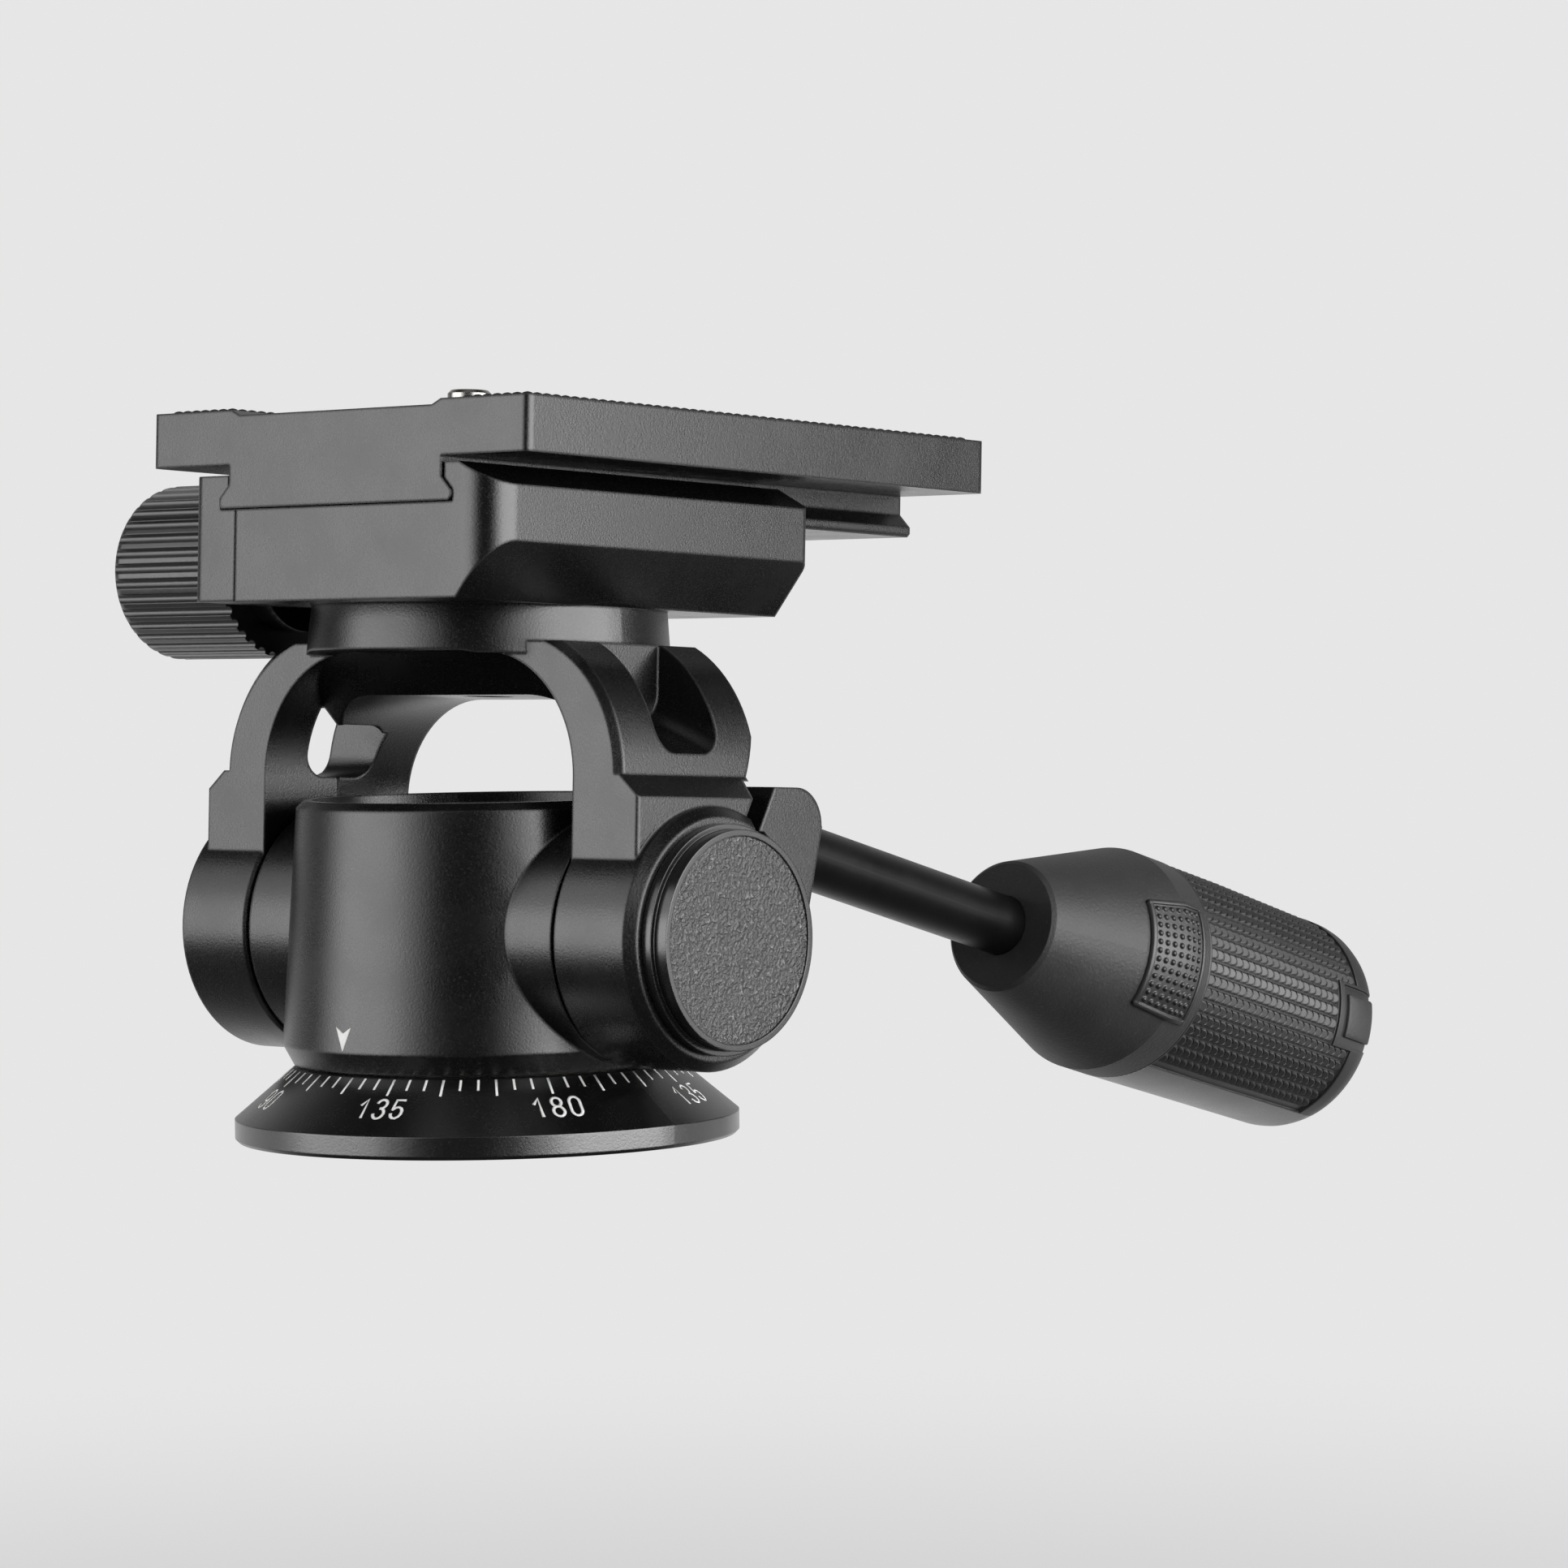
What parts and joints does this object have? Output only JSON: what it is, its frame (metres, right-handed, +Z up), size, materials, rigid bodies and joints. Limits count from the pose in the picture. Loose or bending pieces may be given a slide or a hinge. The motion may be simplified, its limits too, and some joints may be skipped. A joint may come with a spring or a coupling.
{
  "type": "pan and tilt head",
  "caption": "Two-way tripod head: a drum pans on a graduated base, a forked yoke tilts on side trunnions locked by a twist handle, and a knob clamp holds a dovetail camera plate.",
  "frame": {"origin": "middle of the underside of the base, at the mouth of the tripod thread", "axes": "+Z up along the pan axis, +X to the right along the tilt axis, +Y to the rear, towards the handle"},
  "size_m": [0.0923, 0.1561, 0.0962],
  "materials": {
    "black_metal": "black anodised over fine bead blasting",
    "dark_metal": "smooth black anodised",
    "grained_metal": "dark grey with a coarse grain",
    "gloss_black": "polished black",
    "black_rod": "satin black coating",
    "steel": "turned steel",
    "bronze": "turned bearing bronze",
    "polymer": "natural white bearing plastic",
    "black_plastic": "fine spark-eroded black",
    "black_rubber": "matt moulded black rubber"
  },
  "bodies": {
    "base": {"base_ring": "dark_metal", "pan_spindle": "steel", "thread_bush": "bronze", "flange_screws": "steel", "pan_spring_washer": "steel", "pan_nut": "steel"},
    "drum": {"drum": "black_metal", "drum_cover": "gloss_black", "pan_bush": "bronze", "drag_ring": "polymer", "trunnion_left": "steel", "trunnion_right": "steel", "tilt_bolt": "steel", "tilt_nut": "steel", "thrust_washers": "polymer", "tilt_cap_left": "dark_metal", "tilt_cap_right": "dark_metal", "cap_insert_left": "grained_metal", "cap_insert_right": "grained_metal"},
    "yoke": {"yoke": "black_metal", "tilt_bush": "polymer", "friction_sleeve": "polymer", "clamp_body": "black_metal", "clamp_screw": "steel", "clamp_dowels": "steel", "guide_pins": "steel", "jaw_springs": "steel"},
    "jaw": {"jaw": "black_metal"},
    "knob": {"knob": "black_plastic", "knob_core": "bronze", "knob_screw": "steel", "knob_collar": "dark_metal", "knob_cap": "gloss_black"},
    "plate": {"plate": "black_metal", "plate_pads": "black_rubber"},
    "camera_screw": {"camera_screw": "steel", "screw_clip": "steel"},
    "handle": {"handle_rod": "black_rod", "grip_body": "black_plastic", "grip_sleeve": "black_rubber", "thumb_pad": "black_rubber", "grip_cap": "black_plastic"}
  },
  "joints": [
    {"name": "pan", "type": "hinge", "parent": "base", "child": "drum", "pos_m": [0, 0, 0], "axis": [0, 0, 1], "continuous": true},
    {"name": "tilt", "type": "hinge", "parent": "drum", "child": "yoke", "pos_m": [0, 0, 0.02432], "axis": [1, 0, 0], "range_deg": [-60, 80]},
    {"name": "handle_twist", "type": "hinge", "parent": "yoke", "child": "handle", "pos_m": [0.0305, 0.00375, 0.03804], "axis": [0, 0.9646, -0.2639], "range_deg": [-20, 120]},
    {"name": "jaw_slide", "type": "slide", "parent": "yoke", "child": "jaw", "axis": [-1, 0, 0], "range_m": [0, 0.004], "deforming": ["jaw_springs"]},
    {"name": "knob_turn", "type": "hinge", "parent": "jaw", "child": "knob", "pos_m": [0, -0.00588, 0.06779], "axis": [-1, 0, 0], "range_deg": [0, 1440]},
    {"name": "plate_slide", "type": "slide", "parent": "yoke", "child": "plate", "axis": [0, 0.9988, -0.0489], "range_m": [-0.03, 0.025]},
    {"name": "camera_screw_turn", "type": "hinge", "parent": "plate", "child": "camera_screw", "pos_m": [0.00075, -0.00188, 0.08416], "axis": [0, 0.0489, 0.9988], "continuous": true}
  ],
  "couplings": [
    {"joint": "knob_turn", "follows": "jaw_slide", "rad_per_m": 6283.2}
  ]
}
